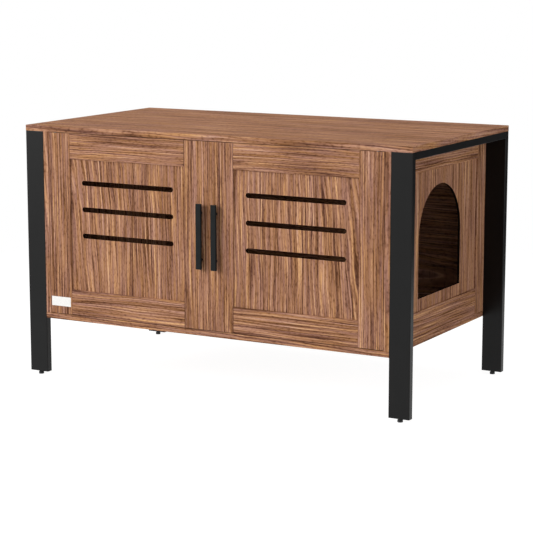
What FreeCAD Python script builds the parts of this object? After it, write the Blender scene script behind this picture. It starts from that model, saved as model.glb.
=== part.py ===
import FreeCAD, Part
import math
import os

# Cat litter box cabinet: a low two-door cabinet of wood-grain board, carried between two
# inverted-U frames of black steel tube. The cat goes in through an arch in the right side.
#
# Millimetres. +Z is up, -Y is the front, +X is the side with the arch. The origin is on the
# floor, midway across the width and midway between the handle fronts and the back edge.

# ---- overall -------------------------------------------------------------------------------
overall_width = 900.0       # across the top and the two leg frames
overall_depth = 485.0       # top and leg frames, front to back, without the handles
overall_height = 539.0      # floor to the top surface
floor_clearance = 126.5     # floor to the underside of the cabinet
foot_height = 7.5           # what shows of a levelling foot below its leg

# ---- boards --------------------------------------------------------------------------------
board = 12.0                # top, bottom and the frames of the two sides
door_board = 15.0           # frames of the two doors
infill_board = 5.0          # thin panels that fill the door and side frames, and the back
infill_recess = 3.0         # from a frame's outer face back to its thin panel
tongue = 5.0                # what a thin panel reaches into its groove
groove_end_room = 1.0       # room past the tongue at the bottom of a groove
groove_side_room = 0.1      # room on each face of a thin panel in its groove
board_edge = 0.8            # rounding of the top panel's edges
frame_edge = 0.5            # easing of stile and rail edges, which makes the joint lines

# ---- side frames ---------------------------------------------------------------------------
side_stile = 58.0
side_rail = 55.0
arch_width = 208.0          # the cat's entrance, round at the top
arch_sill_rise = 25.0       # from the lower rail up to the sill
arch_crown_drop = 32.0      # from the upper rail down to the crown
back_inset = 17.5           # from the cabinet's rear edge to the back panel

# ---- doors ---------------------------------------------------------------------------------
hinge_stile = 53.9
meeting_stile = 56.6
door_rail = 53.8
door_end_gap = 1.2          # above and below each door
meeting_gap = 0.8           # between the doors
slot_count = 3              # vent slots in each door
slot_height = 10.3
slot_pitch = 55.8
slot_end_margin = 28.25     # from a slot's round end to the stile
slot_top_drop = 49.5        # from the upper rail to the centre of the first slot

# ---- door pivots ---------------------------------------------------------------------------
pivot_inset = 16.0          # from a door's hinge edge to its pivot axis
pivot_front = 5.0           # from a door's face to its pivot axis
pivot_diameter = 4.0
running_fit = 0.05          # radial room for a pin or stud that turns
swing_room = 0.33           # what a turning door's corner misses the side by
pivot_grip = 18.0           # what a pin holds of the door
bush_diameter = 7.0
bush_flange_diameter = 9.0
bush_flange = 0.6
bush_floor = 4.0            # board left past a bush
collar_diameter = 7.0
collar_room = 0.1           # between a pin's collar and the bush flange
pin_tip_room = 1.0

# ---- handles -------------------------------------------------------------------------------
handle_length = 134.0
handle_width = 12.0
handle_bar = 5.5            # thickness of the bar
handle_projection = 12.0    # door face to the front of the bar
handle_inset = 17.1         # from a door's free edge to the middle of the bar
handle_post_diameter = 7.0
handle_hole_spacing = 96.0
handle_edge = 0.8

# ---- leg frames ----------------------------------------------------------------------------
tube_width = 45.0           # across the cabinet
tube_depth = 15.0           # the other way, in the legs and in the rails
tube_wall = 1.2
tube_corner = 1.5
leg_top_edge = 1.0          # rounding of a leg's top edges, under the top panel
plug_height = 14.0
plug_room = 0.1
foot_diameter = 11.0
foot_base = 5.0
foot_edge = 0.6
foot_neck_diameter = 8.0
foot_neck_room = 0.3
foot_stud_diameter = 6.0
foot_travel = 10.0
stud_end_room = 1.0

# ---- fasteners -----------------------------------------------------------------------------
fit = 0.05                  # radial room round a dowel, pin or thread that stays put
hole_room = 0.2             # radial room round a shank that passes through
end_room = 0.5              # room past the end of a dowel or screw
dowel_diameter = 6.0
dowel_grip = 12.0           # what a dowel holds of each piece
dowel_spread = 26.0         # between the two dowels of a joint
top_skin = 3.0              # board left above a dowel or screw in the top
bolt_diameter = 5.0
bolt_head_diameter = 9.2
bolt_head = 2.3
bolt_socket = 3.0           # across the flats
bolt_end_inset = 35.0       # from the top and bottom of the side frames
bolt_tip = 1.0
nut_diameter = 9.0
nut_length = 6.0
screw_diameter = 4.0
screw_head_diameter = 8.0
screw_head = 2.2
screw_recess = 1.2          # depth of the cross recess, and twice its arm's width
bottom_screw_length = 40.0
top_screw_inset = 70.0      # from the ends of a frame's rail
handle_screw_end = 2.5      # from the end of a handle screw to the front of the bar
small_screw_diameter = 3.0
small_screw_head_diameter = 5.6
small_screw_head = 1.2
small_screw_grip = 9.0

# ---- magnetic catch ------------------------------------------------------------------------
catch_width = 52.0
catch_depth = 15.0
catch_height = 12.0
catch_gap = 0.3             # between a strike plate and the catch, doors shut
catch_edge = 1.0
catch_screw_back = 10.0     # from the catch's front face to its screws
magnet_width = 16.0
magnet_depth = 4.0
magnet_height = 8.0
magnet_inset = 6.0          # from the middle of the catch to a magnet
strike_width = 30.0
strike_height = 10.0
strike_thickness = 1.2
strike_inset = 4.0          # from a door's free edge
strike_drop = 1.5           # from a door's top edge
strike_screw_inset = 6.0    # from the plate's far end

# ---- blank label plate ---------------------------------------------------------------------
label_width = 48.5
label_height = 20.0
label_thickness = 0.4
label_side_inset = 1.9      # from the hinge edge of the left door
label_rise = 16.0           # from the left door's bottom edge

# ---- places worked out from the sizes ------------------------------------------------------
half_width = overall_width / 2
front = (handle_projection - overall_depth) / 2
back = front + overall_depth
middle = (front + back) / 2
top_under = overall_height - board
base_top = floor_clearance + board
side_face = half_width - tube_width
side_inner = side_face - board
side_middle = (side_face + side_inner) / 2
side_height = top_under - base_top
groove_depth = tongue + groove_end_room
back_front = back - back_inset - infill_board
door_side_gap = math.hypot(pivot_inset, pivot_front) - pivot_inset + swing_room
door_edge = side_inner - door_side_gap
door_width = door_edge - meeting_gap / 2
door_bottom = base_top + door_end_gap
door_height = side_height - 2 * door_end_gap
door_back = front + door_board
door_middle = door_bottom + door_height / 2
pivot_x = door_edge - pivot_inset
pivot_y = front + pivot_front
bush_depth = board - bush_floor
joint_ys = (front + side_stile / 2, back - side_stile / 2)
leg_ys = (front + tube_depth / 2, back - tube_depth / 2)
leg_x = half_width - tube_width / 2
bolt_zs = (base_top + bolt_end_inset, top_under - bolt_end_inset)
top_screw_ys = (front + tube_depth + top_screw_inset, back - tube_depth - top_screw_inset)
handle_x = meeting_gap / 2 + handle_inset
handle_zs = (door_middle - handle_hole_spacing / 2, door_middle + handle_hole_spacing / 2)
strike_left = meeting_gap / 2 + strike_inset
strike_top = door_bottom + door_height - strike_drop
strike_middle_z = strike_top - strike_height / 2
strike_screw_x = strike_left + strike_width - strike_screw_inset
catch_front = door_back + strike_thickness + catch_gap
catch_under = top_under - catch_height
magnet_middle = magnet_inset + magnet_width / 2

vector = FreeCAD.Vector
RIGHT = vector(1, 0, 0)
BACKWARD = vector(0, 1, 0)
FORWARD = vector(0, -1, 0)
UP = vector(0, 0, 1)
DOWN = vector(0, 0, -1)


# ---- plain shapes --------------------------------------------------------------------------
def block(x0, x1, y0, y1, z0, z1):
    """A box between two opposite corners."""
    return Part.makeBox(x1 - x0, y1 - y0, z1 - z0, vector(x0, y0, z0))


def rod(diameter, start, direction, length):
    """A round bar from a point along a direction."""
    return Part.makeCylinder(diameter / 2, length, start, direction)


def eased(shape, radius, wanted):
    """The shape with its straight edges rounded where wanted(middle, direction) is true."""
    edges = []
    for edge in shape.Edges:
        first = edge.Vertexes[0].Point
        last = edge.Vertexes[-1].Point
        direction = (last - first).normalize()
        if wanted((first + last) / 2, direction):
            edges.append(edge)
    return shape.makeFillet(radius, edges)


def along(direction, axis):
    """Whether an edge runs along an axis, either way."""
    return abs(direction.dot(axis)) > 0.999


def mirrored(shape):
    """The same shape on the other side of the cabinet."""
    return shape.mirror(vector(0, 0, 0), RIGHT)


def both_sides(solids):
    """Solids of the right side with their mirror images, as one group."""
    return Part.makeCompound(solids + [mirrored(solid) for solid in solids])


# ---- fasteners -----------------------------------------------------------------------------
def cross_recess(start, direction, size):
    """The cross-shaped cut in a screw head whose face is at start."""
    side = UP if abs(direction.z) < 0.5 else RIGHT
    other = direction.cross(side)
    arms = []
    for arm_axis, cross_axis in ((side, other), (other, side)):
        arm = Part.makeBox(size, size / 4, screw_recess)
        arm.translate(vector(-size / 2, -size / 8, 0))
        turn = FreeCAD.Rotation(arm_axis, cross_axis, direction, "ZXY")
        arm.Placement = FreeCAD.Placement(start, turn).multiply(arm.Placement)
        arms.append(arm)
    return arms[0].fuse(arms[1])


def hex_recess(start, direction, depth):
    """A six-sided socket cut along direction from start."""
    corner = bolt_socket / math.sqrt(3)
    points = []
    for step in range(7):
        angle = math.radians(60 * step)
        points.append(vector(corner * math.cos(angle), corner * math.sin(angle), 0))
    prism = Part.Face(Part.makePolygon(points)).extrude(vector(0, 0, depth))
    prism.Placement = FreeCAD.Placement(start, FreeCAD.Rotation(UP, direction))
    return prism


def countersunk(diameter, head_diameter, head, start, direction, length):
    """A countersunk shank: the head's face is at start and the tip lies along direction."""
    cone = Part.makeCone(head_diameter / 2, diameter / 2, head, start, direction)
    return rod(diameter, start, direction, length).fuse(cone).removeSplitter()


def countersunk_hole(diameter, head_diameter, head, start, direction, length):
    """The hole for a countersunk shank, with room round shank and head."""
    wide = diameter + 2 * hole_room
    return countersunk(wide, head_diameter + 2 * fit, head, start, direction, length)


def pan_screw(diameter, start, direction, length):
    """A pan-head screw: the underside of its head is at start and the tip along direction."""
    away = direction * -1
    head = rod(screw_head_diameter, start, away, screw_head)
    rim = [edge for edge in head.Edges if edge.Closed and
           (edge.CenterOfMass - start).dot(away) > screw_head / 2]
    head = head.makeFillet(screw_head / 3, rim)
    face = start + away * screw_head
    cross = cross_recess(face, direction, screw_head_diameter / 2)
    return rod(diameter, start, direction, length).fuse(head).cut(cross)


# ---- framed boards: two stiles, two rails and a thin panel in grooves ------------------------
def ease_face(piece, thickness):
    """Ease the long edges of a stile or rail's outer and inner faces."""
    def on_face(middle, direction):
        flat = not along(direction, BACKWARD)
        return flat and (middle.y < frame_edge or middle.y > thickness - frame_edge)
    return eased(piece, frame_edge, on_face)


def framed_board(width, height, thickness, first_stile, last_stile, rail):
    """Stiles, rails, thin panel and dowels, standing at the origin with the outer face at
    y = 0, the width along x and the first stile at x = 0."""
    groove_front = infill_recess - groove_side_room
    groove_back = infill_recess + infill_board + groove_side_room
    groove = block(first_stile - groove_depth, width - last_stile + groove_depth,
                   groove_front, groove_back, rail - groove_depth, height - rail + groove_depth)
    boards = {
        "first_stile": block(0, first_stile, 0, thickness, 0, height),
        "last_stile": block(width - last_stile, width, 0, thickness, 0, height),
        "bottom_rail": block(first_stile, width - last_stile, 0, thickness, 0, rail),
        "top_rail": block(first_stile, width - last_stile, 0, thickness, height - rail, height),
    }
    dowels = []
    holes = []
    reach = dowel_grip + end_room
    for joint in (first_stile, width - last_stile):
        for rail_middle in (rail / 2, height - rail / 2):
            for offset in (-dowel_spread / 2, dowel_spread / 2):
                z = rail_middle + offset
                start = vector(joint - dowel_grip, thickness / 2, z)
                hole_start = vector(joint - reach, thickness / 2, z)
                dowels.append(rod(dowel_diameter, start, RIGHT, 2 * dowel_grip))
                holes.append(rod(dowel_diameter + 2 * fit, hole_start, RIGHT, 2 * reach))
    pieces = {}
    for name, shape in boards.items():
        pieces[name] = ease_face(shape, thickness).cut([groove] + holes)
    pieces["infill"] = block(first_stile - tongue, width - last_stile + tongue,
                             infill_recess, infill_recess + infill_board,
                             rail - tongue, height - rail + tongue)
    pieces["dowels"] = Part.makeCompound(dowels)
    return pieces


# ---- sides ---------------------------------------------------------------------------------
def arch_opening():
    """The cat's entrance through the right side: straight below and half round above."""
    radius = arch_width / 2
    sill = base_top + side_rail + arch_sill_rise
    crown = top_under - side_rail - arch_crown_drop
    spring = crown - radius
    x0 = side_inner - board
    x1 = side_face + board
    straight = block(x0, x1, middle - radius, middle + radius, sill, spring)
    round_top = rod(arch_width, vector(x0, middle, spring), RIGHT, x1 - x0)
    return straight.fuse(round_top)


def back_groove():
    """The groove that holds the back panel in the top, the bottom and the back stiles."""
    reach = side_inner + groove_depth
    return block(-reach, reach, back_front - groove_side_room,
                 back_front + infill_board + groove_side_room,
                 base_top - groove_depth, top_under + groove_depth)


def leg_bolt(y, z):
    """A countersunk bolt from inside the cabinet into a leg."""
    start = vector(side_inner, y, z)
    length = board + tube_wall + nut_length + bolt_tip
    bolt = countersunk(bolt_diameter, bolt_head_diameter, bolt_head, start, RIGHT, length)
    return bolt.cut(hex_recess(start, RIGHT, bolt_head))


def weld_nut(y, z):
    """The round nut welded inside a leg for a leg bolt."""
    start = vector(side_face + tube_wall, y, z)
    nut = rod(nut_diameter, start, RIGHT, nut_length)
    return nut.cut(rod(bolt_diameter + 2 * fit, start, RIGHT, nut_length))


def leg_bolt_places():
    return [(y, z) for y in leg_ys for z in bolt_zs]


def bottom_screw(y):
    """A screw up through the bottom panel into the end of a side stile."""
    start = vector(side_middle, y, floor_clearance)
    screw = countersunk(screw_diameter, screw_head_diameter, screw_head, start, UP,
                        bottom_screw_length)
    return screw.cut(cross_recess(start, UP, screw_head_diameter / 2))


def bottom_screw_hole(y):
    start = vector(side_middle, y, floor_clearance)
    through = countersunk_hole(screw_diameter, screw_head_diameter, screw_head, start, UP, board)
    pilot = rod(screw_diameter + 2 * fit, start, UP, bottom_screw_length + end_room)
    return through.fuse(pilot)


def top_dowel(y, room, end):
    """A dowel between a side stile and the top, or its hole when room is given."""
    grip_above = board - top_skin - end_room + end
    start = vector(side_middle, y, top_under - dowel_grip - end)
    return rod(dowel_diameter + 2 * room, start, UP, dowel_grip + end + grip_above)


def side_holes():
    """Every hole and groove that the side boards need besides their own joints."""
    reach = side_face - side_inner
    holes = [back_groove()]
    for y, z in leg_bolt_places():
        start = vector(side_inner, y, z)
        holes.append(countersunk_hole(bolt_diameter, bolt_head_diameter, bolt_head, start,
                                      RIGHT, reach))
    for y in joint_ys:
        holes.append(bottom_screw_hole(y))
        holes.append(top_dowel(y, fit, end_room))
    return holes


def right_side_frame():
    """The right side's boards in place: local x runs from front to back."""
    frame = framed_board(overall_depth, side_height, board, side_stile, side_stile, side_rail)
    for shape in frame.values():
        shape.rotate(vector(0, 0, 0), UP, 90)
        shape.translate(vector(side_face, front, base_top))
    return frame


def add_sides(nodes):
    frame = right_side_frame()
    holes = side_holes()
    names = {
        "first_stile": "front_stile",
        "last_stile": "back_stile",
        "top_rail": "top_rail",
        "bottom_rail": "bottom_rail",
    }
    for local_name, name in names.items():
        shape = frame[local_name].cut(holes)
        nodes["right_side_" + name] = shape
        nodes["left_side_" + name] = mirrored(shape)
    nodes["right_side_arch_panel"] = frame["infill"].cut(arch_opening())
    nodes["left_side_panel"] = mirrored(frame["infill"])
    nodes["side_frame_dowels"] = both_sides(frame["dowels"].Solids)


# ---- carcass -------------------------------------------------------------------------------
def pivot_bush(x, z, direction):
    """A flanged bush let into a board whose face is at z; direction points into the board."""
    face = vector(x, pivot_y, z)
    body = rod(bush_diameter, face, direction, bush_depth)
    flange = rod(bush_flange_diameter, face - direction * bush_flange, direction, bush_flange)
    bore = rod(pivot_diameter + 2 * running_fit, face - direction * bush_flange, direction,
               bush_flange + bush_depth)
    return body.fuse(flange).removeSplitter().cut(bore)


def bush_seat(x, z, direction):
    return rod(bush_diameter + 2 * fit, vector(x, pivot_y, z), direction, bush_depth)


def catch_screw(x):
    start = vector(x, catch_front + catch_screw_back, catch_under)
    screw = countersunk(small_screw_diameter, small_screw_head_diameter, small_screw_head,
                        start, UP, catch_height + board - top_skin - end_room)
    return screw.cut(cross_recess(start, UP, small_screw_head_diameter / 2))


def catch_screw_hole(x):
    start = vector(x, catch_front + catch_screw_back, catch_under)
    through = countersunk_hole(small_screw_diameter, small_screw_head_diameter,
                               small_screw_head, start, UP, catch_height)
    pilot = rod(small_screw_diameter + 2 * fit, start, UP, catch_height + board - top_skin)
    return through.fuse(pilot)


def top_screw(y):
    """A pan-head screw up through a frame's rail into the top."""
    start = vector(leg_x, y, top_under - tube_depth)
    return pan_screw(screw_diameter, start, UP, tube_depth + board - top_skin - end_room)


def top_screw_hole(y, room):
    start = vector(leg_x, y, top_under - tube_depth)
    return rod(screw_diameter + 2 * room, start, UP, tube_depth + board - top_skin)


def add_top(nodes):
    panel = block(-half_width, half_width, front, back, top_under, overall_height)

    def outer(edge_middle, direction):
        return along(direction, UP) or edge_middle.z > overall_height - board_edge

    panel = eased(panel, board_edge, outer)
    holes = []
    for y in joint_ys:
        holes.append(top_dowel(y, fit, end_room))
    for y in top_screw_ys:
        holes.append(top_screw_hole(y, fit))
    holes.append(bush_seat(pivot_x, top_under, UP))
    holes.append(catch_screw_hole(magnet_middle))
    nodes["top_panel"] = panel.cut([back_groove()] + both_sides(holes).Solids)


def add_bottom(nodes):
    panel = block(-side_face, side_face, front, back, floor_clearance, base_top)

    def visible(edge_middle, direction):
        return along(direction, RIGHT) or along(direction, BACKWARD)

    panel = eased(panel, frame_edge, visible)
    holes = []
    for y in joint_ys:
        holes.append(bottom_screw_hole(y))
    holes.append(bush_seat(pivot_x, base_top, DOWN))
    nodes["bottom_panel"] = panel.cut([back_groove()] + both_sides(holes).Solids)


def add_back(nodes):
    reach = side_inner + tongue
    nodes["back_panel"] = block(-reach, reach, back_front, back_front + infill_board,
                                base_top - tongue, top_under + tongue)


def add_carcass_fasteners(nodes):
    nodes["bottom_panel_screws"] = both_sides([bottom_screw(y) for y in joint_ys])
    nodes["top_dowels"] = both_sides([top_dowel(y, 0, 0) for y in joint_ys])
    nodes["top_panel_screws"] = both_sides([top_screw(y) for y in top_screw_ys])
    nodes["leg_bolts"] = both_sides([leg_bolt(y, z) for y, z in leg_bolt_places()])
    nodes["leg_weld_nuts"] = both_sides([weld_nut(y, z) for y, z in leg_bolt_places()])
    nodes["pivot_bushes"] = both_sides([pivot_bush(pivot_x, base_top, DOWN),
                                        pivot_bush(pivot_x, top_under, UP)])


def add_catch(nodes):
    """A twin magnetic catch under the top, behind the meeting stiles."""
    housing = block(-catch_width / 2, catch_width / 2, catch_front, catch_front + catch_depth,
                    catch_under, top_under)

    def lower(edge_middle, direction):
        return edge_middle.z < top_under - catch_edge and not along(direction, RIGHT)

    housing = eased(housing, catch_edge, lower)
    magnet_z = strike_middle_z - magnet_height / 2
    magnet = block(magnet_inset, magnet_inset + magnet_width, catch_front,
                   catch_front + magnet_depth, magnet_z, magnet_z + magnet_height)
    pocket = block(magnet_inset - fit, magnet_inset + magnet_width + fit, catch_front,
                   catch_front + magnet_depth + fit, magnet_z - fit,
                   magnet_z + magnet_height + fit)
    holes = both_sides([pocket, catch_screw_hole(magnet_middle)])
    nodes["catch_housing"] = housing.cut(holes.Solids)
    nodes["catch_magnets"] = both_sides([magnet])
    nodes["catch_screws"] = both_sides([catch_screw(magnet_middle)])


# ---- leg frames ----------------------------------------------------------------------------
def tube_bar(x0, x1, y0, y1, z0, z1, axis):
    """The outside of a rectangular tube, with its long edges rounded."""
    bar = block(x0, x1, y0, y1, z0, z1)
    return eased(bar, tube_corner, lambda middle_point, line: along(line, axis))


def tube_bore(x0, x1, y0, y1, z0, z1, axis):
    """The inside of a rectangular tube, open at both ends along its axis."""
    inset = vector(tube_wall, tube_wall, tube_wall) - vector(axis).multiply(tube_wall)
    return block(x0 + inset.x, x1 - inset.x, y0 + inset.y, y1 - inset.y,
                 z0 + inset.z, z1 - inset.z)


def leg(y):
    """One leg of the right frame, with its bolt holes in the wall that meets the side."""
    place = (side_face, half_width, y - tube_depth / 2, y + tube_depth / 2,
             foot_height, top_under, UP)
    top_edge = top_under - leg_top_edge
    shape = eased(tube_bar(*place), leg_top_edge, lambda middle_point, line: middle_point.z > top_edge)
    holes = [tube_bore(*place)]
    for z in bolt_zs:
        start = vector(side_face, y, z)
        holes.append(rod(bolt_diameter + 2 * hole_room, start, RIGHT, 2 * tube_wall))
    return shape.cut(holes)


def leg_rail():
    """The rail that joins a frame's two legs under the top."""
    place = (side_face, half_width, front + tube_depth, back - tube_depth,
             top_under - tube_depth, top_under, BACKWARD)
    screw_holes = [top_screw_hole(y, hole_room) for y in top_screw_ys]
    return tube_bar(*place).cut([tube_bore(*place)] + screw_holes)


def end_plug(y):
    """The plastic plug in the foot of a leg, threaded for a levelling foot."""
    x_room = tube_width / 2 - tube_wall - plug_room
    y_room = tube_depth / 2 - tube_wall - plug_room
    plug = block(leg_x - x_room, leg_x + x_room, y - y_room, y + y_room,
                 foot_height, foot_height + plug_height)
    bore = rod(foot_stud_diameter + 2 * running_fit, vector(leg_x, y, foot_height), UP,
               plug_height)
    return plug.cut(bore)


def levelling_foot(y):
    """A foot with its threaded stud, screwed all the way in."""
    centre = vector(leg_x, y, 0)
    base = rod(foot_diameter, centre, UP, foot_base)
    rims = [edge for edge in base.Edges if edge.Closed]
    base = base.makeFillet(foot_edge, rims)
    neck = rod(foot_neck_diameter, centre, UP, foot_height - foot_neck_room)
    stud_top = foot_height + plug_height + foot_travel + stud_end_room
    stud = rod(foot_stud_diameter, centre, UP, stud_top)
    return base.fuse([neck, stud]).removeSplitter()


def add_leg_frames(nodes):
    for place, y in zip(("front", "back"), leg_ys):
        nodes["right_" + place + "_leg"] = leg(y)
        nodes["left_" + place + "_leg"] = mirrored(leg(y))
        nodes["right_" + place + "_foot"] = levelling_foot(y)
        nodes["left_" + place + "_foot"] = mirrored(levelling_foot(y))
    nodes["right_leg_rail"] = leg_rail()
    nodes["left_leg_rail"] = mirrored(leg_rail())
    nodes["leg_end_plugs"] = both_sides([end_plug(y) for y in leg_ys])


# ---- doors ---------------------------------------------------------------------------------
def vent_slots():
    """The round-ended vent slots of the right door's thin panel."""
    x0 = meeting_gap / 2 + meeting_stile + slot_end_margin
    x1 = door_edge - hinge_stile - slot_end_margin
    first_z = door_bottom + door_height - door_rail - slot_top_drop
    y0 = front
    y1 = front + 2 * (infill_recess + infill_board)
    radius = slot_height / 2
    slots = []
    for index in range(slot_count):
        z = first_z - index * slot_pitch
        slots.append(block(x0 + radius, x1 - radius, y0, y1, z - radius, z + radius))
        for x in (x0 + radius, x1 - radius):
            slots.append(rod(slot_height, vector(x, y0, z), BACKWARD, y1 - y0))
    return slots


def pivot_pins():
    """The right door's lower and upper pins, each with a collar in the gap."""
    collar = door_end_gap - bush_flange - collar_room
    pins = []
    for face, direction in ((door_bottom, DOWN), (door_bottom + door_height, UP)):
        start = vector(pivot_x, pivot_y, face) - direction * pivot_grip
        reach = pivot_grip + door_end_gap + bush_depth - pin_tip_room
        pin = rod(pivot_diameter, start, direction, reach)
        ring = rod(collar_diameter, vector(pivot_x, pivot_y, face), direction, collar)
        pins.append(pin.fuse(ring).removeSplitter())
    return pins


def pivot_holes():
    holes = []
    for face, direction in ((door_bottom, DOWN), (door_bottom + door_height, UP)):
        start = vector(pivot_x, pivot_y, face) - direction * (pivot_grip + end_room)
        holes.append(rod(pivot_diameter + 2 * fit, start, direction, pivot_grip + end_room))
    return holes


def handle():
    """The right door's handle: a square-edged bar on two posts, tapped for its screws."""
    bar_front = front - handle_projection
    bar = block(handle_x - handle_width / 2, handle_x + handle_width / 2,
                bar_front, bar_front + handle_bar,
                door_middle - handle_length / 2, door_middle + handle_length / 2)
    bar = eased(bar, handle_edge, lambda edge_middle, direction: True)
    posts = []
    holes = []
    depth = handle_projection - handle_screw_end + end_room
    for z in handle_zs:
        start = vector(handle_x, front, z)
        posts.append(rod(handle_post_diameter, start, FORWARD, handle_projection - handle_bar / 2))
        holes.append(rod(screw_diameter + 2 * fit, start, FORWARD, depth))
    return bar.fuse(posts).removeSplitter().cut(holes)


def handle_screw(z):
    start = vector(handle_x, door_back, z)
    return pan_screw(screw_diameter, start, FORWARD,
                     door_board + handle_projection - handle_screw_end)


def handle_screw_hole(z):
    return rod(screw_diameter + 2 * hole_room, vector(handle_x, door_back, z), FORWARD,
               door_board)


def strike_screw_hole(diameter, length):
    start = vector(strike_screw_x, door_back + strike_thickness, strike_middle_z)
    return countersunk(diameter, small_screw_head_diameter + 2 * fit, small_screw_head, start,
                       FORWARD, length)


def strike_plate():
    plate = block(strike_left, strike_left + strike_width, door_back,
                  door_back + strike_thickness, strike_top - strike_height, strike_top)
    plate = eased(plate, catch_edge, lambda edge_middle, direction: along(direction, BACKWARD))
    return plate.cut(strike_screw_hole(small_screw_diameter + 2 * hole_room, strike_thickness))


def strike_screw():
    start = vector(strike_screw_x, door_back + strike_thickness, strike_middle_z)
    screw = countersunk(small_screw_diameter, small_screw_head_diameter, small_screw_head,
                        start, FORWARD, strike_thickness + small_screw_grip)
    return screw.cut(cross_recess(start, FORWARD, small_screw_head_diameter / 2))


def right_door():
    """Every piece of the right door, in place."""
    frame = framed_board(door_width, door_height, door_board, meeting_stile, hinge_stile,
                         door_rail)
    for shape in frame.values():
        shape.translate(vector(meeting_gap / 2, front, door_bottom))
    strike_pilot = strike_screw_hole(small_screw_diameter + 2 * fit,
                                     strike_thickness + small_screw_grip + end_room)
    meeting_holes = [handle_screw_hole(z) for z in handle_zs] + [strike_pilot]
    return {
        "meeting_stile": frame["first_stile"].cut(meeting_holes),
        "hinge_stile": frame["last_stile"].cut(pivot_holes()),
        "top_rail": frame["top_rail"],
        "bottom_rail": frame["bottom_rail"],
        "vent_panel": frame["infill"].cut(vent_slots()),
        "dowels": frame["dowels"],
        "pivot_pins": Part.makeCompound(pivot_pins()),
        "handle": handle(),
        "handle_screws": Part.makeCompound([handle_screw(z) for z in handle_zs]),
        "strike_plate": strike_plate(),
        "strike_screw": strike_screw(),
    }


def add_doors(nodes):
    for name, shape in right_door().items():
        nodes["right_door_" + name] = shape
        nodes["left_door_" + name] = mirrored(shape)


def add_label_plate(nodes):
    """A blank plate low on the left door's hinge stile."""
    x0 = -door_edge + label_side_inset
    z0 = door_bottom + label_rise
    plate = block(x0, x0 + label_width, front - label_thickness, front, z0, z0 + label_height)
    nodes["left_door_label_plate"] = plate


# ---- the whole cabinet ---------------------------------------------------------------------
def build_nodes():
    nodes = {}
    add_top(nodes)
    add_bottom(nodes)
    add_back(nodes)
    add_sides(nodes)
    add_carcass_fasteners(nodes)
    add_catch(nodes)
    add_leg_frames(nodes)
    add_doors(nodes)
    add_label_plate(nodes)
    return nodes


os.makedirs("parts", exist_ok=True)
for node_name, node_shape in build_nodes().items():
    node_shape.exportStep("parts/" + node_name + ".step")
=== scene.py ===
import math
from dataclasses import dataclass

import bpy
from bpy.props import FloatProperty, FloatVectorProperty, PointerProperty
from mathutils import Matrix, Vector


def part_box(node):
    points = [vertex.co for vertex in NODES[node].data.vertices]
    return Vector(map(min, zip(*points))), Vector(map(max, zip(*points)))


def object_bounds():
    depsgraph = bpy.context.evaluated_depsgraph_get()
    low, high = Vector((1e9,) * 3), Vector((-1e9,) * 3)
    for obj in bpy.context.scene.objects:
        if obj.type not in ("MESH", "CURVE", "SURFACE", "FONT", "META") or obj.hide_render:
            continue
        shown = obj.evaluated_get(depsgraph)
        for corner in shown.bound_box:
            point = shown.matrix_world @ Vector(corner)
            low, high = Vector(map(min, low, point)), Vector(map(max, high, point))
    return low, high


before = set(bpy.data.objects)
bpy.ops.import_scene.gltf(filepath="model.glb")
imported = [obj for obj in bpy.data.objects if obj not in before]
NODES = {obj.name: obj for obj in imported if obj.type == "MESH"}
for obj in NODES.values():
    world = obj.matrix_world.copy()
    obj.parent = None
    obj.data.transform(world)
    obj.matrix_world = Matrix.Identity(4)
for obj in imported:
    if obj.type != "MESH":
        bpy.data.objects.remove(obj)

bl_info = {
    "name": "Cat litter box cabinet",
    "version": (1, 0, 0),
    "blender": (4, 5, 0),
    "location": "3D View > Sidebar > Cabinet",
    "description": "Finishes a cat litter box cabinet of foil-faced board on black steel legs",
    "category": "Object",
}

MM = 0.001
CAD_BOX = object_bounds()
SIDES = ("left", "right")
AXES = {"x": 0, "y": 1, "z": 2}
NOISE_MIDDLE = {"From Min": 0.35, "From Max": 0.65}     # the middle of a noise's values
NOISE_SPAN = {"From Min": 0.3, "From Max": 0.7}         # nearly all of a noise's values
BUMP_STRENGTH = 0.5
WHITE = (1.0, 1.0, 1.0, 1.0)


# ---- colour and node helpers ---------------------------------------------------------------
def linear(hex_colour):
    """An sRGB hex colour, such as #a27355, as linear RGBA, by the curve of the sRGB standard."""
    channels = []
    for start in (1, 3, 5):
        value = int(hex_colour[start:start + 2], 16) / 255
        channels.append(value / 12.92 if value <= 0.04045 else ((value + 0.055) / 1.055) ** 2.4)
    return (*channels, 1.0)


def add(tree, kind, inputs=None, **settings):
    """Adds a node with its settings. Each input takes a value, a socket, or a node, whose first
    output in use is linked."""
    node = tree.nodes.new("ShaderNode" + kind)
    for name, value in settings.items():
        setattr(node, name, value)
    for key, value in (inputs or {}).items():
        if isinstance(value, bpy.types.Node):
            value = next(socket for socket in value.outputs if socket.enabled)
        if isinstance(value, bpy.types.NodeSocket):
            tree.links.new(value, node.inputs[key])
        else:
            node.inputs[key].default_value = value
    return node


def new_material(name):
    """An empty material and its node tree."""
    material = bpy.data.materials.new(name)
    material.use_nodes = True
    material.node_tree.nodes.clear()
    return material, material.node_tree


def finish_node(name, material):
    """Puts a finish on every slot of a CAD node."""
    for slot in NODES[name].material_slots:
        slot.material = material


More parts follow.
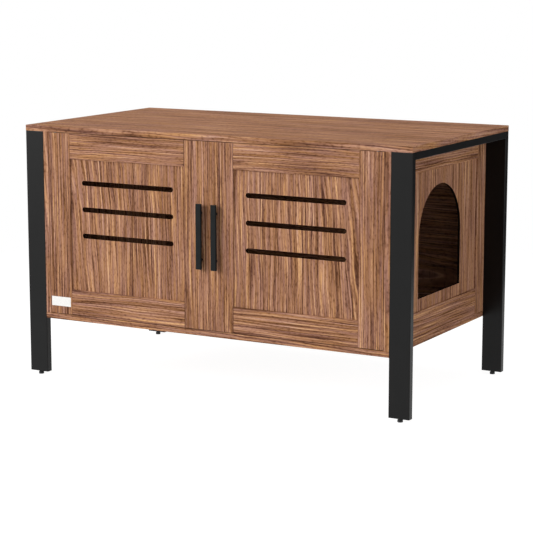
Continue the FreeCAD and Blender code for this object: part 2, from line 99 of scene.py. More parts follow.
def plain_finish(name, shades, cloud, grain, roughness, relief, stretch=(1, 1, 1), **sockets):
    """A finish whose colour drifts between two shades in clouds, and whose roughness, from its
    lowest to its highest, and relief follow a finer grain. Cloud, grain and relief are sizes in
    metres, and stretch draws clouds and grain out along each axis."""
    material, tree = new_material(name)
    object_place = add(tree, "TexCoord").outputs["Object"]
    place = add(tree, "VectorMath", {0: object_place, 1: stretch}, operation="DIVIDE")
    clouds = add(tree, "TexNoise", {"Vector": place, "Scale": 1 / cloud, "Detail": 3.0})
    share = add(tree, "MapRange", {"Value": clouds, **NOISE_MIDDLE})
    ends = {0: share, 6: shades[0], 7: shades[1]}
    colour = add(tree, "Mix", ends, data_type="RGBA")
    fine = add(tree, "TexNoise", {"Vector": place, "Scale": 1 / grain, "Detail": 2.0})
    steps = {"Value": fine, **NOISE_SPAN, "To Min": roughness[0], "To Max": roughness[1]}
    gloss = add(tree, "MapRange", steps)
    bump = add(tree, "Bump", {"Strength": BUMP_STRENGTH, "Distance": relief, "Height": fine})
    inputs = {"Base Color": colour, "Roughness": gloss, "Normal": bump}
    for socket, value in sockets.items():
        inputs[socket.replace("_", " ")] = value
    shader = add(tree, "BsdfPrincipled", inputs)
    add(tree, "OutputMaterial", {"Surface": shader})
    return material


# ---- settings ------------------------------------------------------------------------------
def colour_setting(name, description, hex_colour):
    """A colour, given as sRGB hex."""
    return FloatVectorProperty(name=name, description=description, default=linear(hex_colour),
                               size=4, min=0.0, max=1.0, subtype="COLOR")


def length_setting(name, description, default_mm):
    """A length, given in millimetres and held in metres."""
    return FloatProperty(name=name, description=description, default=default_mm * MM,
                         min=0.0, unit="LENGTH", precision=5)


def number_setting(name, description, default):
    """A plain number."""
    return FloatProperty(name=name, description=description, default=default)


def angle_setting(name, description, degrees):
    """An angle, given in degrees and held in radians."""
    return FloatProperty(name=name, description=description, default=math.radians(degrees),
                         subtype="ANGLE")


class FoilSettings(bpy.types.PropertyGroup):
    """The printed wood-grain foil on every board."""
    dark: colour_setting("Dark grain", "Colour of the late-wood lines", "#58392b")
    shade: colour_setting("Shade", "Colour beside a dark line", "#815a44")
    ground: colour_setting("Ground", "Commonest colour of the foil", "#a2775e")
    light: colour_setting("Light", "Colour of the early wood", "#be9072")
    streak: colour_setting("Light streak", "Colour of the palest streaks", "#deb38c")
    cool: colour_setting("Cool tint", "Tint of the greyer streaks", "#f0eeff")
    warm: colour_setting("Warm tint", "Tint of the more golden streaks", "#fff8da")
    # stain and painted shade: the milled edges' core and pits are drawn darker than a stained core,
    # for the shade in slots and reveals
    core: colour_setting("Core", "Colour of a milled, stained board edge", "#140d09")
    pits: colour_setting("Core's pits", "Colour of the pits in such an edge", "#080504")
    # painted shade: the dark hairline at a rail's joint with its stile, drawn as if the joint stood
    # open
    joint: colour_setting("Open joint", "Colour of the dark in an open joint", "#1d130d")
    line: length_setting("Line spacing", "Distance between two dark lines", 10.0)
    streak_width: length_setting("Streak width", "Width of the streaks between the lines", 2.3)
    sway: length_setting("Sway", "How far the grain leaves the straight", 9.0)
    # the width of that painted joint shade
    hairline: length_setting("Hairline", "Width of an open joint between a rail and a stile", 0.9)
    roughness: number_setting("Roughness", "Roughness of the matt foil", 0.7)


class MetalSettings(bpy.types.PropertyGroup):
    """The steel frames, handles and fasteners."""
    powder: colour_setting("Powder coat", "Colour of the leg frames", "#070707")
    handle: colour_setting("Handle paint", "Colour of the handles", "#171919")
    zinc: colour_setting("Zinc", "Colour of the plated fasteners", "#c6c9cb")
    steel: colour_setting("Steel", "Colour of the turned pivot pins", "#b9babb")
    peel: length_setting("Orange peel", "Size of the lumps in the powder coat", 1.4)


class SmallPartSettings(bpy.types.PropertyGroup):
    """The plastic, magnetic, wooden and label pieces."""
    black_plastic: colour_setting("Black plastic", "Colour of plugs and feet", "#1b1b1c")
    nylon: colour_setting("Nylon", "Colour of the pivot bushes", "#4a3427")
    catch: colour_setting("Catch", "Colour of the catch housing", "#5b4030")
    ferrite: colour_setting("Ferrite", "Colour of the magnets", "#3a3a3c")
    beech: colour_setting("Beech", "Colour of the dowels", "#d2ab7b")
    label: colour_setting("Label", "Colour of the blank label plate", "#eeede9")


class StageSettings(bpy.types.PropertyGroup):
    """The floor, the lamps and the camera."""
    azimuth: angle_setting("Azimuth", "Camera's angle from the front towards the right", 29.12)
    elevation: angle_setting("Elevation", "Camera's angle above the horizon", 9.845)
    distance: length_setting("Distance", "From the camera to the point it looks at", 3941.5)
    aim: FloatVectorProperty(name="Aim", description="The point that the camera looks at",
                             default=(0.0024, 0.0003, 0.2362), subtype="XYZ", unit="LENGTH",
                             precision=5)
    focal_length: number_setting("Focal length", "Lens in millimetres on a 36 mm sensor", 124.41)
    key: number_setting("Key lamp", "Power of the front-left lamp in watts", 680.0)
    top: number_setting("Top lamp", "Power of the overhead lamp in watts", 52.0)
    side: number_setting("Side lamp", "Power of the right-hand lamp in watts", 36.0)
    ambient: number_setting("Ambient", "Strength of the light from all round", 0.19)


# ---- wood-grain foil -----------------------------------------------------------------------
FACES_ALONG = 0.7               # the least of a normal that makes its surface face along an axis
SEED_STEP = (3.17, 7.71, 1.37)  # what a seed of 1 adds to a place in the noise
SLOW_SWAY = 2.4                 # the slow noise's part in the grain's sway
QUICK_SWAY = 0.7                # the quick noise's part
NOISE_MEAN = 0.5
LINE_HALF = 0.045               # how far a noise leaves its mean before the line along it is gone
LINE_FADE = {"From Min": 0.38, "From Max": 0.6}     # the noise at which a line starts and is full
PORE_FADE = {"From Min": 0.5, "From Max": 0.75}     # the same for a pore
# The print's tone runs from 0, its dark grain, to 1, its palest streaks. It is TONE_START, and
# each layer's value times its weight on top.
TONE_START = -0.87
TONE_WEIGHTS = {"streaks": 2.15, "bands": 0.3, "patches": 0.35, "lines": -0.32, "pores": -0.3}
CORE_SPECK = 0.8                # millimetres, the size of the specks in a milled edge
SMOOTHER = 0.04                 # how far the streaks take the foil's roughness down
ROUGHER = 0.08                  # and up
PORE_DEPTH = 0.05 * MM
LINE_PRESS = 0.5                # a line's depth as a share of a pore's
FOIL_SHEEN = 0.02               # the matt film's specular level


@dataclass
class Board:
    """A piece of board, and how the print lies on it."""
    node: str
    axes: str               # the axes along the grain, across it and through the thickness
    heart: tuple            # where the printed tree's heart lies, across and below the face, in mm
    tilt: float             # how much deeper the heart lies for each millimetre along the grain
    seed: float             # gives the piece a part of the print to itself
    sway: float = 0.35      # how much its grain sways, as a share of the foil's sway
    cut_edge: bool = False  # whether its edges are milled and dark instead of covered: a stained core, darkened further as painted shade
    shaded_end: int = 0       # the end, 1 or -1, at which a dark hairline of painted shade marks its joint


def grain_place(tree, board):
    """Where a point lies in the print, in millimetres along, across and through the grain, and
    1 where the surface faces through the board. A board's banded end has its own strip of foil,
    so there the grain turns to follow the edge."""
    coordinates = add(tree, "TexCoord").outputs
    low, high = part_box(board.node)
    centre = (Vector(low) + Vector(high)) / 2 / MM
    scale = (1 / MM, 1 / MM, 1 / MM)
    inputs = {0: coordinates["Object"], 1: scale, 2: tuple(-centre)}
    local = add(tree, "VectorMath", inputs, operation="MULTIPLY_ADD")
    places = add(tree, "SeparateXYZ", {0: local}).outputs
    normals = add(tree, "SeparateXYZ", {0: coordinates["Normal"]}).outputs
    along, across, through = (AXES[letter] for letter in board.axes)
    face = add(tree, "CombineXYZ", {0: places[along], 1: places[across], 2: places[through]})
    end = add(tree, "CombineXYZ", {0: places[across], 1: places[through], 2: places[along]})
    facing = []
    for axis in (along, through):
        size = add(tree, "Math", {0: normals[axis]}, operation="ABSOLUTE")
        facing.append(add(tree, "Math", {0: size, 1: FACES_ALONG}, operation="GREATER_THAN"))
    place = add(tree, "Mix", {0: facing[0], 4: face, 5: end}, data_type="VECTOR")
    return place, facing[1]


def print_layer(tree, place, length, width, detail, seed):
    """One layer of the print: marks of about this length and width, in millimetres, with this
    many octaves of finer ones in them."""
    size = (1 / length, 1 / width, 1 / width)
    shift = tuple(seed * step for step in SEED_STEP)
    moved = add(tree, "VectorMath", {0: place, 1: size, 2: shift}, operation="MULTIPLY_ADD")
    inputs = {"Vector": moved, "Scale": 1.0, "Detail": detail, "Roughness": 0.6}
    return add(tree, "TexNoise", inputs)


def bent_place(tree, foil, board, place):
    """The place with its distance across the grain taken from the printed tree's heart, which
    sways, so that lines and streaks follow the growth rings."""
    sway = foil.sway / MM * board.sway
    slow = print_layer(tree, place, length=260.0, width=55.0, detail=1.0, seed=board.seed)
    quick = print_layer(tree, place, length=90.0, width=18.0, detail=1.0, seed=board.seed + 0.37)
    along, across, through = add(tree, "SeparateXYZ", {0: place}).outputs
    offset = add(tree, "Math", {0: across, 1: board.heart[0]}, operation="ADD")
    inputs = {0: slow, 1: SLOW_SWAY * sway, 2: offset}
    offset = add(tree, "Math", inputs, operation="MULTIPLY_ADD")
    depth = add(tree, "Math", {0: along, 1: board.tilt, 2: through}, operation="MULTIPLY_ADD")
    depth = add(tree, "Math", {0: depth, 1: board.heart[1]}, operation="ADD")
    flat = add(tree, "CombineXYZ", {0: offset, 1: depth})
    radius = add(tree, "VectorMath", {0: flat}, operation="LENGTH")
    inputs = {0: quick, 1: QUICK_SWAY * sway, 2: radius}
    radius = add(tree, "Math", inputs, operation="MULTIPLY_ADD")
    return add(tree, "CombineXYZ", {0: along, 1: radius})


def late_wood(tree, lines, fade):
    """1 in the middle of a dark late-wood line, and 0 beside it and where it fades out."""
    middle = add(tree, "Math", {0: lines, 1: NOISE_MEAN}, operation="SUBTRACT")
    beside = add(tree, "Math", {0: middle}, operation="ABSOLUTE")
    steps = {"Value": beside, "From Min": 0.0, "From Max": LINE_HALF, "To Min": 1.0, "To Max": 0.0}
    line = add(tree, "MapRange", steps)
    shown = add(tree, "MapRange", {"Value": fade, **LINE_FADE})
    return add(tree, "Math", {0: line, 1: shown}, operation="MULTIPLY")


def inked(tree, foil, tone, hue):
    """The ink of each tone, from dark grain to palest streak, tinted cooler and warmer by turns."""
    ramp = add(tree, "ValToRGB", {0: tone})
    inks = (foil.dark, foil.shade, foil.ground, foil.light, foil.streak)
    elements = ramp.color_ramp.elements
    while len(elements) < len(inks):
        elements.new(0.5)   # its place is set below
    for index, ink in enumerate(inks):
        elements[index].position = index / (len(inks) - 1)
        elements[index].color = ink
    share = add(tree, "MapRange", {"Value": hue, **NOISE_MIDDLE})
    tint = add(tree, "Mix", {0: share, 6: foil.cool, 7: foil.warm}, data_type="RGBA")
    return add(tree, "Mix", {0: 1.0, 6: ramp, 7: tint}, data_type="RGBA", blend_type="MULTIPLY")


def shaded_milled_edges(tree, foil, board, place, facing_through, colour):
    """The colour, but dark core on the edges, which face along or across the board: a stained core,
    painted darker still with the shade that falls on such edges.
    """
    speck = print_layer(tree, place, CORE_SPECK, CORE_SPECK, detail=2.0, seed=board.seed)
    core = add(tree, "Mix", {0: speck, 6: foil.pits, 7: foil.core}, data_type="RGBA")
    return add(tree, "Mix", {0: facing_through, 6: core, 7: colour}, data_type="RGBA")


def painted_joint_shade(tree, foil, board, place, colour):
    """The colour, but a dark hairline of painted shade across the end at the board's joint, drawn
    as if the joint stood open.
    """
    axis = AXES[board.axes[0]]
    low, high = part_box(board.node)
    end = (high[axis] - low[axis]) / 2 / MM
    along = add(tree, "SeparateXYZ", {0: place}).outputs[0]
    outwards = add(tree, "Math", {0: along, 1: float(board.shaded_end)}, operation="MULTIPLY")
    inputs = {0: outwards, 1: end - foil.hairline / MM}
    # 1 in the strip of painted joint shade
    joint = add(tree, "Math", inputs, operation="GREATER_THAN")
    return add(tree, "Mix", {0: joint, 6: colour, 7: foil.joint}, data_type="RGBA")


def wood_foil(board):
    """Matt melamine foil, printed with brown wood grain and pressed onto board. The print is
    thin dark late-wood lines that come and go, finer streaks between them and short pores
    along them. The film has little sheen, so the print gives nearly all the contrast. The streaks
    are drawn about twice as wide as the finest real ones, to show at all."""
    foil = bpy.context.scene.cabinet_foil
    material, tree = new_material("printed_wood_grain_foil." + board.node)
    place, facing_through = grain_place(tree, board)
    bent = bent_place(tree, foil, board, place)
    seed = board.seed
    line = foil.line / MM
    streak = foil.streak_width / MM
    streaks = print_layer(tree, bent, length=200.0, width=streak, detail=2.0, seed=seed + 1.1)
    bands = print_layer(tree, bent, length=280.0, width=2.6 * streak, detail=1.0, seed=seed + 1.9)
    lines = print_layer(tree, bent, length=320.0, width=line, detail=1.0, seed=seed + 2.3)
    fade = print_layer(tree, bent, length=110.0, width=9.0, detail=1.0, seed=seed + 3.7)
    patches = print_layer(tree, place, length=300.0, width=45.0, detail=2.0, seed=seed + 4.9)
    pores = print_layer(tree, bent, length=9.0, width=2.0, detail=1.0, seed=seed + 5.3)
    hue = print_layer(tree, bent, length=110.0, width=4.0, detail=2.0, seed=seed + 6.1)

    late = late_wood(tree, lines, fade)
    pore = add(tree, "MapRange", {"Value": pores, **PORE_FADE})
    layers = {"streaks": streaks, "bands": bands, "patches": patches, "lines": late, "pores": pore}
    tone = TONE_START
    for name, weight in TONE_WEIGHTS.items():
        inputs = {0: layers[name], 1: weight, 2: tone}
        tone = add(tree, "Math", inputs, operation="MULTIPLY_ADD")
    colour = inked(tree, foil, tone, hue)
    # milled edges: a stained core with painted shade
    if board.cut_edge:
        colour = shaded_milled_edges(tree, foil, board, place, facing_through, colour)
    # painted shade of a joint drawn as open
    if board.shaded_end:
        colour = painted_joint_shade(tree, foil, board, place, colour)

    steps = {"Value": streaks, **NOISE_SPAN, "To Min": foil.roughness - SMOOTHER,
             "To Max": foil.roughness + ROUGHER}
    gloss = add(tree, "MapRange", steps)
    pressed = add(tree, "Math", {0: late, 1: LINE_PRESS, 2: pore}, operation="MULTIPLY_ADD")
    relief = {"Strength": BUMP_STRENGTH, "Distance": PORE_DEPTH, "Height": pressed}
    bump = add(tree, "Bump", relief, invert=True)
    inputs = {"Base Color": colour, "Roughness": gloss, "Normal": bump, "IOR": 1.5,
              "Specular IOR Level": FOIL_SHEEN}
    shader = add(tree, "BsdfPrincipled", inputs)
    add(tree, "OutputMaterial", {"Surface": shader})
    finish_node(board.node, material)


def frame_boards(prefix, stiles, axes_up, axes_flat, seed, shaded_end=0):
    """The boards of one frame: its stiles with upright grain and its rails with level grain."""
    boards = []
    for index, stile in enumerate(stiles):
        heart = (230.0 + 40 * index, 70.0)
        boards.append(Board(prefix + stile, axes_up, heart, tilt=0.03, seed=seed + 1.3 * index))
    for index, rail in enumerate(("top_rail", "bottom_rail")):
        heart = (150.0 + 60 * index, 40.0)
        # the rails carry the painted joint shade at that end
        boards.append(Board(prefix + rail, axes_flat, heart, tilt=0.05,
                            seed=seed + 3.1 + 1.7 * index, sway=0.5, shaded_end=shaded_end))
    return boards


# ---- metal finishes ------------------------------------------------------------------------
def powder_coat():
    """Mild steel tube under baked polyester powder: near-black, satin, with a fine orange peel
    that breaks up its soft reflections."""
    metal = bpy.context.scene.cabinet_metal
    shades = (metal.powder, linear("#0a0a0a"))
    return plain_finish("black_powder_coated_steel", shades, cloud=60.0 * MM, grain=metal.peel,
                        roughness=(0.28, 0.38), relief=0.03 * MM, IOR=1.5, Specular_IOR_Level=0.2)


def handle_paint():
    """Cast zinc bar, sprayed and baked matt black: smoother than the powder coat, with a faint
    cold cast."""
    metal = bpy.context.scene.cabinet_metal
    shades = (metal.handle, linear("#1b1d1e"))
    return plain_finish("black_painted_zinc_casting", shades, cloud=22.0 * MM, grain=0.5 * MM,
                        roughness=(0.42, 0.52), relief=0.01 * MM, IOR=1.5, Specular_IOR_Level=0.08)


def zinc_plate():
    """Steel with bright zinc electroplate: a silvery metal, slightly clouded."""
    metal = bpy.context.scene.cabinet_metal
    shades = (metal.zinc, linear("#aab0ab"))
    return plain_finish("bright_zinc_plated_steel", shades, cloud=2.5 * MM, grain=0.6 * MM,
                        roughness=(0.26, 0.42), relief=0.01 * MM, Metallic=1.0)


def turned_steel():
    """Plain steel rod, turned: bright, with fine rings round the pin from the tool. The grain is
    drawn out level, so that it closes into rings."""
    metal = bpy.context.scene.cabinet_metal
    shades = (metal.steel, linear("#8f9092"))
    return plain_finish("turned_bright_steel", shades, cloud=1.5 * MM, grain=0.3 * MM,
                        roughness=(0.22, 0.36), relief=0.01 * MM, stretch=(800, 800, 1),
                        Metallic=1.0)


# ---- plastic, magnet, dowel and label finishes ----------------------------------------------
def moulded_plastic(name, shades, roughness):
    """Injection-moulded plastic with the fine spark-eroded texture of its mould."""
    return plain_finish(name, shades, cloud=12.0 * MM, grain=0.5 * MM, roughness=roughness,
                        relief=0.015 * MM, IOR=1.5, Specular_IOR_Level=0.3)


def sintered_ferrite():
    """Pressed and sintered ferrite: dark grey ceramic, gritty where it was ground flat."""
    small = bpy.context.scene.cabinet_small_parts
    shades = (linear("#2d2d2f"), small.ferrite)
    return plain_finish("sintered_ferrite", shades, cloud=1.0 * MM, grain=0.35 * MM,
                        roughness=(0.4, 0.6), relief=0.01 * MM, IOR=2.2)


def beech_dowel(name, stretch):
    """Turned and fluted beech: pale, with short dark flecks along the grain, which stretch draws
    out."""
    small = bpy.context.scene.cabinet_small_parts
    shades = (linear("#b58d60"), small.beech)
    return plain_finish(name, shades, cloud=0.9 * MM, grain=0.7 * MM, roughness=(0.55, 0.7),
                        relief=0.1 * MM, stretch=stretch, IOR=1.5)


def label_film():
    """White PVC film on a thin plate, left blank: satin, faintly mottled by the glue under it."""
    small = bpy.context.scene.cabinet_small_parts
    shades = (linear("#e6e5e1"), small.label)
    return plain_finish("blank_white_film_on_plate", shades, cloud=4.0 * MM, grain=1.0 * MM,
                        roughness=(0.35, 0.45), relief=0.01 * MM, IOR=1.53)


# ---- operators: one for each group of pieces -------------------------------------------------
class CABINET_OT_top(bpy.types.Operator):
    """Faces the top panel in foil, its grain along the width"""
    bl_idname = "cabinet.top"
    bl_label = "Top panel"

    def execute(self, context):
        wood_foil(Board("top_panel", "xyz", heart=(330.0, 55.0), tilt=0.03, seed=14.6))
        return {"FINISHED"}


class CABINET_OT_bottom(bpy.types.Operator):
    """Faces the bottom panel in foil, its grain along the width"""
    bl_idname = "cabinet.bottom"
    bl_label = "Bottom panel"

    def execute(self, context):
        wood_foil(Board("bottom_panel", "xyz", heart=(280.0, 40.0), tilt=0.02, seed=23.0))
        return {"FINISHED"}


class CABINET_OT_back(bpy.types.Operator):
    """Faces the thin back panel in foil, its grain along the width"""
    bl_idname = "cabinet.back"
    bl_label = "Back panel"

    def execute(self, context):
        wood_foil(Board("back_panel", "xzy", heart=(120.0, 50.0), tilt=0.03, seed=31.0, sway=0.7,
                        cut_edge=True))
        return {"FINISHED"}


class CABINET_OT_side_frames(bpy.types.Operator):
    """Faces the boards of both side frames, stiles upright and rails level"""
    bl_idname = "cabinet.side_frames"
    bl_label = "Side frames"

    def execute(self, context):
        stiles = ("front_stile", "back_stile")
        for index, side in enumerate(SIDES):
            seed = 40.0 + 9 * index
            for board in frame_boards(side + "_side_", stiles, "zyx", "yzx", seed):
                wood_foil(board)
        return {"FINISHED"}


class CABINET_OT_side_panels(bpy.types.Operator):
    """Faces the thin panels of the sides, one of them with the cat's arch"""
    bl_idname = "cabinet.side_panels"
    bl_label = "Side panels"

    def execute(self, context):
        wood_foil(Board("left_side_panel", "zyx", heart=(60.0, 60.0), tilt=0.05, seed=61.0,
                        sway=0.8, cut_edge=True))
        wood_foil(Board("right_side_arch_panel", "zyx", heart=(260.0, 60.0), tilt=0.02, seed=67.0,
                        sway=0.5, cut_edge=True))
        return {"FINISHED"}


class CABINET_OT_door_frames(bpy.types.Operator):
    """Faces the boards of both door frames, stiles upright and rails level"""
    bl_idname = "cabinet.door_frames"
    bl_label = "Door frames"

    def execute(self, context):
        stiles = ("hinge_stile", "meeting_stile")
        for index, side in enumerate(SIDES):
            seed = 71.0 + 11 * index
            # the rails' painted joint shade goes at the end by the meeting stile
            meeting_end = 1 if side == "left" else -1
            for board in frame_boards(side + "_door_", stiles, "zxy", "xzy", seed, meeting_end):
                wood_foil(board)
        return {"FINISHED"}


class CABINET_OT_vent_panels(bpy.types.Operator):
    """Faces the doors' thin panels, with dark milled edges in the vent slots"""
    bl_idname = "cabinet.vent_panels"
    bl_label = "Vent panels"

    def execute(self, context):
        wood_foil(Board("left_door_vent_panel", "zxy", heart=(170.0, 80.0), tilt=0.07, seed=97.0,
                        sway=0.9, cut_edge=True))
        wood_foil(Board("right_door_vent_panel", "zxy", heart=(-180.0, 80.0), tilt=-0.06,
                        seed=103.0, sway=0.9, cut_edge=True))
        return {"FINISHED"}


class CABINET_OT_leg_frames(bpy.types.Operator):
    """Powder-coats the legs and the rails of both leg frames"""
    bl_idname = "cabinet.leg_frames"
    bl_label = "Leg frames"

    def execute(self, context):
        coat = powder_coat()
        for side in SIDES:
            for piece in ("front_leg", "back_leg", "leg_rail"):
                finish_node(side + "_" + piece, coat)
        return {"FINISHED"}


class CABINET_OT_feet(bpy.types.Operator):
    """Finishes the levelling feet and the plugs that they screw into"""
    bl_idname = "cabinet.feet"
    bl_label = "Levelling feet"

    def execute(self, context):
        small = context.scene.cabinet_small_parts
        shades = (small.black_plastic, linear("#222223"))
        foot = moulded_plastic("moulded_black_nylon", shades, (0.42, 0.54))
        plug = moulded_plastic("moulded_black_polythene", shades, (0.5, 0.62))
        for side in SIDES:
            for place in ("front", "back"):
                finish_node(side + "_" + place + "_foot", foot)
        finish_node("leg_end_plugs", plug)
        return {"FINISHED"}


class CABINET_OT_handles(bpy.types.Operator):
    """Paints the two bar handles"""
    bl_idname = "cabinet.handles"
    bl_label = "Handles"

    def execute(self, context):
        paint = handle_paint()
        for side in SIDES:
            finish_node(side + "_door_handle", paint)
        return {"FINISHED"}


class CABINET_OT_fasteners(bpy.types.Operator):
    """Plates the screws, bolts, nuts and strike plates"""
    bl_idname = "cabinet.fasteners"
    bl_label = "Fasteners"

    def execute(self, context):
        plate = zinc_plate()
        for name in ("leg_bolts", "leg_weld_nuts", "top_panel_screws", "bottom_panel_screws",
                     "catch_screws"):
            finish_node(name, plate)
        for side in SIDES:
            for name in ("handle_screws", "strike_plate", "strike_screw"):
                finish_node(side + "_door_" + name, plate)
        return {"FINISHED"}


class CABINET_OT_dowels(bpy.types.Operator):
    """Finishes the beech dowels of the frames and the top"""
    bl_idname = "cabinet.dowels"
    bl_label = "Dowels"

    def execute(self, context):
        finish_node("top_dowels", beech_dowel("fluted_beech_upright", (1, 1, 8)))
        finish_node("side_frame_dowels", beech_dowel("fluted_beech_lengthways", (1, 8, 1)))
        crosswise = beech_dowel("fluted_beech_crosswise", (8, 1, 1))
        for side in SIDES:
            finish_node(side + "_door_dowels", crosswise)
        return {"FINISHED"}


class CABINET_OT_pivots(bpy.types.Operator):
    """Finishes the doors' pivot pins and the bushes that they turn in"""
    bl_idname = "cabinet.pivots"
    bl_label = "Door pivots"

    def execute(self, context):
        small = context.scene.cabinet_small_parts
        shades = (small.nylon, linear("#543d2f"))
        finish_node("pivot_bushes", moulded_plastic("moulded_brown_nylon", shades, (0.34, 0.46)))
        pin = turned_steel()
        for side in SIDES:
            finish_node(side + "_door_pivot_pins", pin)
        return {"FINISHED"}


class CABINET_OT_catch(bpy.types.Operator):
    """Finishes the magnetic catch's housing and magnets"""
    bl_idname = "cabinet.catch"
    bl_label = "Magnetic catch"

    def execute(self, context):
        small = context.scene.cabinet_small_parts
        shades = (small.catch, linear("#664937"))
        finish_node("catch_housing", moulded_plastic("moulded_brown_abs", shades, (0.36, 0.48)))
        finish_node("catch_magnets", sintered_ferrite())
        return {"FINISHED"}


class CABINET_OT_label(bpy.types.Operator):
    """Finishes the blank label plate on the left door"""
    bl_idname = "cabinet.label"
    bl_label = "Label plate"

    def execute(self, context):
        finish_node("left_door_label_plate", label_film())
        return {"FINISHED"}


# ---- stage ---------------------------------------------------------------------------------
# Sizes and places are in metres.
FLOOR_HALF = 8.0                    # from the middle to the floor's edge
PAPER_TOOTH = 1.5 * MM
PAPER_REACH = {"From Min": 0.6, "From Max": 1.8}    # from the middle, where even white takes over
NEAR_EVEN = 0.7                     # the share of even white nearer than that
NEAR_WHITE = 1.34                   # its strength there, which makes up for the darker lit share
LAMP_SIZE = {"key": 4.4, "top": 3.0, "side": 1.8}
LAMP_PLACE = {"key": (-5.8, -6.2, 3.4), "top": (-0.3, -0.4, 3.4), "side": (3.6, -0.7, 1.1)}
FLAG_SIZE = 1.6                     # both ways
FLAG_PLACE = (1.12, 0.98, 0.002)    # the middle of its lower edge, just clear of the floor
FLAG_TURN = math.radians(-29)
FLAG_NAP = 2.0 * MM
CLIP_END = 100.0                    # further than anything on the stage


def seen_directly(tree):
    """1 for a ray from the camera, or from a mirror or glass, else 0."""
    path = add(tree, "LightPath").outputs
    rays = {0: path["Is Camera Ray"], 1: path["Is Glossy Ray"]}
    seen = add(tree, "Math", rays, operation="MAXIMUM")
    rays = {0: seen, 1: path["Is Transmission Ray"]}
    return add(tree, "Math", rays, operation="MAXIMUM")


def seamless_paper():
    """Seamless paper, white to the eye. Most of what is seen is its own even white, and the rest
    is lit paper, so the cabinet's shadow stays on it. Further off it is all even white."""
    material, tree = new_material("white_seamless_paper")
    place = add(tree, "TexCoord").outputs["Object"]
    tooth = add(tree, "TexNoise", {"Vector": place, "Scale": 1 / PAPER_TOOTH})
    shades = {0: tooth, 6: linear("#e8e8e8"), 7: linear("#f0f0f0")}
    colour = add(tree, "Mix", shades, data_type="RGBA")
    paper = add(tree, "BsdfDiffuse", {"Color": colour})
    distance = add(tree, "VectorMath", {0: place}, operation="LENGTH")
    steps = {"Value": distance, **PAPER_REACH}
    even = add(tree, "MapRange", {**steps, "To Min": NEAR_EVEN, "To Max": 1.0})
    strength = add(tree, "MapRange", {**steps, "To Min": NEAR_WHITE, "To Max": 1.0})
    glow = add(tree, "Emission", {"Color": WHITE, "Strength": strength})
    share = add(tree, "Math", {0: even, 1: seen_directly(tree)}, operation="MULTIPLY")
    mix = add(tree, "MixShader", {0: share, 1: paper, 2: glow})
    add(tree, "OutputMaterial", {"Surface": mix})
    return material


def flocked_card():
    """Card flocked in grey: dead matt, faintly uneven in its nap."""
    material, tree = new_material("grey_flocked_card")
    place = add(tree, "TexCoord").outputs["Object"]
    nap = add(tree, "TexNoise", {"Vector": place, "Scale": 1 / FLAG_NAP})
    shades = {0: nap, 6: linear("#5a5a5a"), 7: linear("#646464")}
    colour = add(tree, "Mix", shades, data_type="RGBA")
    felt = add(tree, "BsdfDiffuse", {"Color": colour})
    add(tree, "OutputMaterial", {"Surface": felt})
    return material


def add_rectangle(name, corners, material):
    """A flat rectangle with one material, as an object in the scene."""
    mesh = bpy.data.meshes.new(name)
    mesh.from_pydata(corners, [], [(0, 1, 2, 3)])
    mesh.materials.append(material)
    rectangle = bpy.data.objects.new(name, mesh)
    bpy.context.scene.collection.objects.link(rectangle)
    return rectangle


def add_floor():
    """A square floor of paper, wide enough to have no edge in sight."""
    half = FLOOR_HALF
    corners = [(-half, -half, 0.0), (half, -half, 0.0), (half, half, 0.0), (-half, half, 0.0)]
    floor = add_rectangle("floor", corners, seamless_paper())


def add_flag():
    """A photographer's flag, a grey card at the back right that the camera doesn't see. The
    right-hand faces of the black steel reflect it, so they stay dark."""
    half = FLAG_SIZE / 2
    top = FLAG_SIZE
    corners = [(-half, 0.0, 0.0), (half, 0.0, 0.0), (half, 0.0, top), (-half, 0.0, top)]
    flag = add_rectangle("flag", corners, flocked_card())
    flag.location = FLAG_PLACE
    flag.rotation_euler = (0.0, 0.0, FLAG_TURN)
    flag.visible_camera = False


def add_world(strength):
    """Even light from all round; a camera, mirror or glass ray sees it as plain white."""
    world = bpy.data.worlds.new("studio")
    world.use_nodes = True
    tree = world.node_tree
    tree.nodes.clear()
    levels = {0: seen_directly(tree), 1: 1.0 - strength, 2: strength}
    level = add(tree, "Math", levels, operation="MULTIPLY_ADD")
    light = add(tree, "Background", {"Color": WHITE, "Strength": level})
    add(tree, "OutputWorld", {"Surface": light})
    bpy.context.scene.world = world


def add_lamp(name, power, aim):
    """A square lamp that points at aim and that the camera doesn't see."""
    data = bpy.data.lights.new(name, "AREA")
    data.energy = power
    data.size = LAMP_SIZE[name]
    lamp = bpy.data.objects.new(name + "_lamp", data)
    lamp.location = LAMP_PLACE[name]
    lamp.rotation_euler = (aim - lamp.location).to_track_quat("-Z", "Y").to_euler()
    lamp.visible_camera = False
    bpy.context.scene.collection.objects.link(lamp)


def add_camera(stage):
    """The camera, at its distance and angles from the point that it looks at."""
    data = bpy.data.cameras.new("camera")
    data.lens = stage.focal_length
    data.clip_end = CLIP_END
    camera = bpy.data.objects.new("camera", data)
    aim = Vector(stage.aim)
    level = math.cos(stage.elevation)
    back = Vector((math.sin(stage.azimuth) * level, -math.cos(stage.azimuth) * level,
                   math.sin(stage.elevation)))
    camera.location = aim + back * stage.distance
    camera.rotation_euler = back.to_track_quat("Z", "Y").to_euler()
    bpy.context.scene.collection.objects.link(camera)
    bpy.context.scene.camera = camera


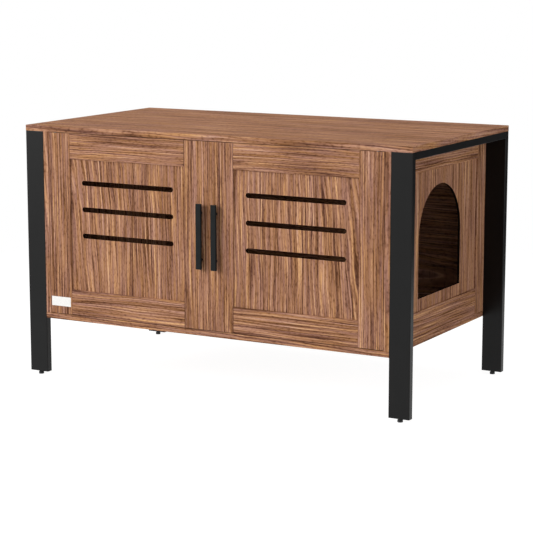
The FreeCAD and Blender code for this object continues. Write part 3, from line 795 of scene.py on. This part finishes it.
class CABINET_OT_stage(bpy.types.Operator):
    """Adds the floor, the world, the lamps and the camera"""
    bl_idname = "cabinet.stage"
    bl_label = "Stage"

    def execute(self, context):
        stage = context.scene.cabinet_stage
        add_floor()
        add_flag()
        add_world(stage.ambient)
        middle = (Vector(CAD_BOX[0]) + Vector(CAD_BOX[1])) / 2
        for name in LAMP_SIZE:
            add_lamp(name, getattr(stage, name), middle)
        add_camera(stage)
        context.scene.view_settings.view_transform = "Standard"
        return {"FINISHED"}


# ---- panel and registration ------------------------------------------------------------------
OPERATORS = (
    CABINET_OT_top,
    CABINET_OT_bottom,
    CABINET_OT_back,
    CABINET_OT_side_frames,
    CABINET_OT_side_panels,
    CABINET_OT_door_frames,
    CABINET_OT_vent_panels,
    CABINET_OT_leg_frames,
    CABINET_OT_feet,
    CABINET_OT_handles,
    CABINET_OT_fasteners,
    CABINET_OT_dowels,
    CABINET_OT_pivots,
    CABINET_OT_catch,
    CABINET_OT_label,
    CABINET_OT_stage,
)
SETTINGS = {
    "cabinet_foil": FoilSettings,
    "cabinet_metal": MetalSettings,
    "cabinet_small_parts": SmallPartSettings,
    "cabinet_stage": StageSettings,
}


class CABINET_PT_panel(bpy.types.Panel):
    """Lists the cabinet's settings and the steps that finish it"""
    bl_idname = "CABINET_PT_panel"
    bl_label = "Cat litter box cabinet"
    bl_space_type = "VIEW_3D"
    bl_region_type = "UI"
    bl_category = "Cabinet"

    def draw(self, context):
        for name, group in SETTINGS.items():
            box = self.layout.box()
            for setting in group.__annotations__:
                box.prop(getattr(context.scene, name), setting)
        for operator in OPERATORS:
            self.layout.operator(operator.bl_idname)


def register():
    for group in SETTINGS.values():
        bpy.utils.register_class(group)
    for name, group in SETTINGS.items():
        setattr(bpy.types.Scene, name, PointerProperty(type=group))
    for operator in OPERATORS:
        bpy.utils.register_class(operator)
    bpy.utils.register_class(CABINET_PT_panel)


def unregister():
    bpy.utils.unregister_class(CABINET_PT_panel)
    for operator in reversed(OPERATORS):
        bpy.utils.unregister_class(operator)
    for name in SETTINGS:
        delattr(bpy.types.Scene, name)
    for group in reversed(SETTINGS.values()):
        bpy.utils.unregister_class(group)


def main():
    register()
    for operator in OPERATORS:
        group, name = operator.bl_idname.split(".")
        getattr(getattr(bpy.ops, group), name)()


if __name__ == "__main__":
    main()
